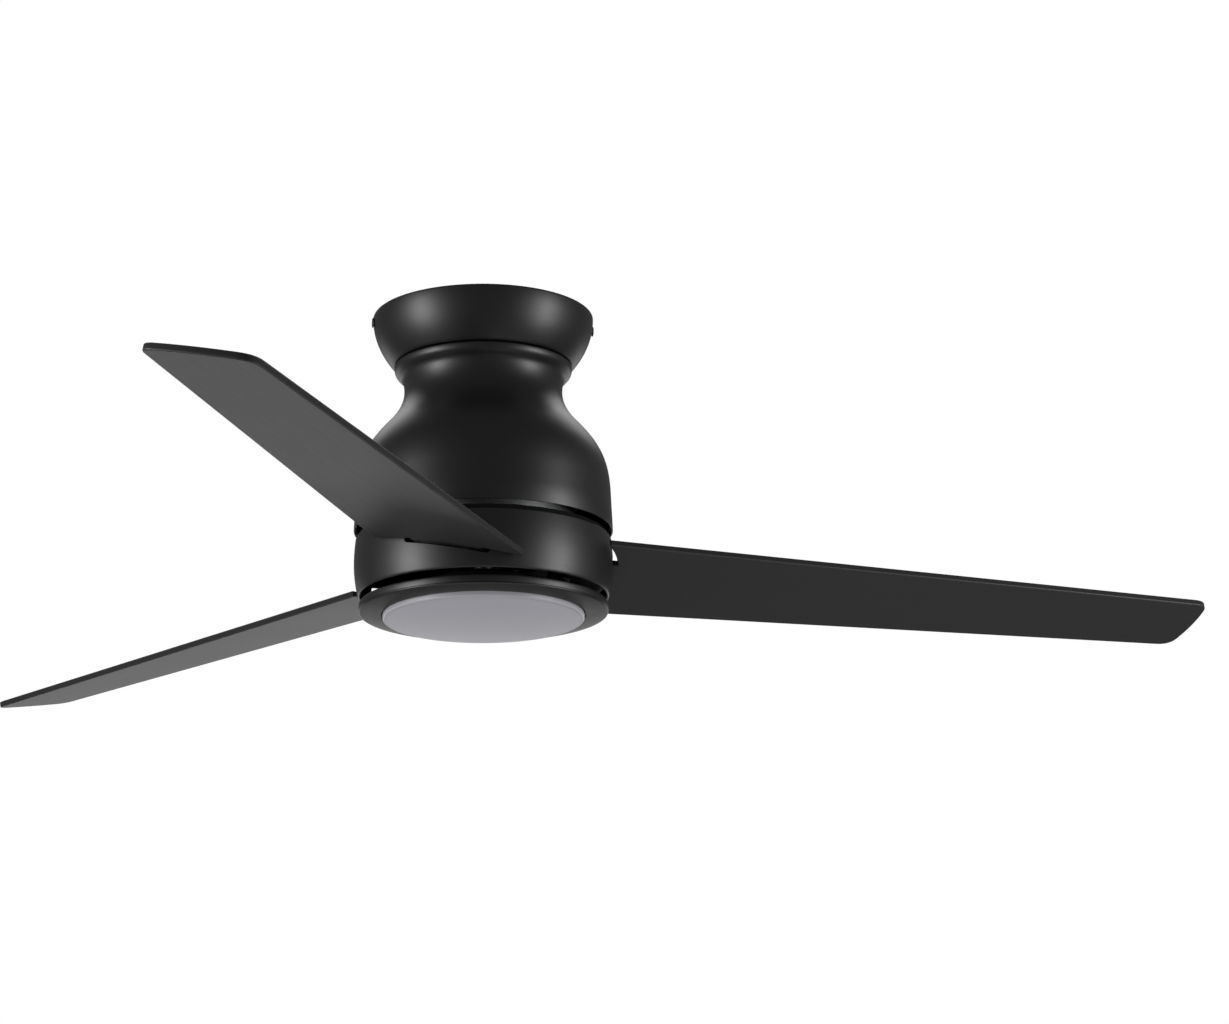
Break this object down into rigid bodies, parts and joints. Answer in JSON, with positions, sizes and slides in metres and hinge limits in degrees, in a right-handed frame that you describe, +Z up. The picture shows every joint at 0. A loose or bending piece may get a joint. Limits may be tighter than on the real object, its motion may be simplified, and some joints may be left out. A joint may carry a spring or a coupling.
{
  "type": "ceiling fan with light",
  "caption": "Low-profile ceiling fan with a bell-shaped motor housing, pitched tapered blades and a flush round LED light under an opal diffuser.",
  "frame": {"origin": "where the fan's axis meets the ceiling, at the top of the hanger bracket", "axes": "+Z up along the axis, +X along the hanger bracket; blade 1 is parked 6.1 degrees from +X towards +Y"},
  "size_m": [1.0762, 1.1662, 0.2748],
  "materials": {
    "satin_black": "satin black powder coat",
    "black_casting": "cast, painted satin black",
    "blade_black": "moulded, matt black",
    "zinc_steel": "zinc plated",
    "dark_screw": "black zinc plated",
    "bare_steel": "plain, oiled",
    "cast_aluminium": "cast, bare",
    "copper": "enamelled wire",
    "magnet": "ferrite, matt",
    "rubber": "moulded",
    "black_plastic": "moulded, fine texture",
    "white_plastic": "moulded",
    "white_board": "white solder mask",
    "opal": "opal, fine satin",
    "lead_sheath": "flexible sheath"
  },
  "bodies": {
    "root": {"bearing_lower": "bare_steel", "bearing_upper": "bare_steel", "canopy": "satin_black", "canopy_screw_1": "dark_screw", "canopy_screw_2": "dark_screw", "hanger_bracket": "zinc_steel", "hanging_bolt_1": "zinc_steel", "hanging_bolt_2": "zinc_steel", "hollow_shaft": "bare_steel", "housing_screw_1": "zinc_steel", "housing_screw_2": "zinc_steel", "housing_screw_3": "zinc_steel", "hub_nut_lower": "zinc_steel", "hub_nut_upper": "zinc_steel", "led_board": "white_board", "led_driver": "white_plastic", "light_hub": "satin_black", "light_lead": "lead_sheath", "light_pan": "satin_black", "motor_housing": "satin_black", "mount_plate": "bare_steel", "pan_screw_1": "zinc_steel", "pan_screw_2": "zinc_steel", "pan_screw_3": "zinc_steel", "receiver_module": "black_plastic", "shaft_nut": "zinc_steel", "stator_core": "bare_steel", "stator_windings": "copper", "trim_ring": "satin_black"},
    "rotor": {"blade_1": "blade_black", "blade_1_screw_1": "zinc_steel", "blade_1_screw_2": "zinc_steel", "blade_1_screw_3": "zinc_steel", "blade_2": "blade_black", "blade_2_screw_1": "zinc_steel", "blade_2_screw_2": "zinc_steel", "blade_2_screw_3": "zinc_steel", "blade_3": "blade_black", "blade_3_screw_1": "zinc_steel", "blade_3_screw_2": "zinc_steel", "blade_3_screw_3": "zinc_steel", "blade_carrier": "black_casting", "blade_cushion_1": "rubber", "blade_cushion_2": "rubber", "blade_cushion_3": "rubber", "blade_ring": "satin_black", "carrier_screw_1": "zinc_steel", "carrier_screw_2": "zinc_steel", "carrier_screw_3": "zinc_steel", "case_screw_1": "zinc_steel", "case_screw_2": "zinc_steel", "case_screw_3": "zinc_steel", "magnet_ring": "magnet", "ring_screw_1": "zinc_steel", "ring_screw_2": "zinc_steel", "ring_screw_3": "zinc_steel", "rotor_case_lower": "cast_aluminium", "rotor_case_upper": "cast_aluminium"},
    "lens": {"diffuser": "opal"}
  },
  "joints": [
    {"name": "rotor_spin", "type": "hinge", "parent": "root", "child": "rotor", "pos_m": [0, 0, -0.16], "axis": [0, 0, 1], "continuous": true},
    {"name": "diffuser_twist", "type": "hinge", "parent": "root", "child": "lens", "pos_m": [0, 0, -0.265], "axis": [0, 0, -1], "range_deg": [0, 18]}
  ]
}
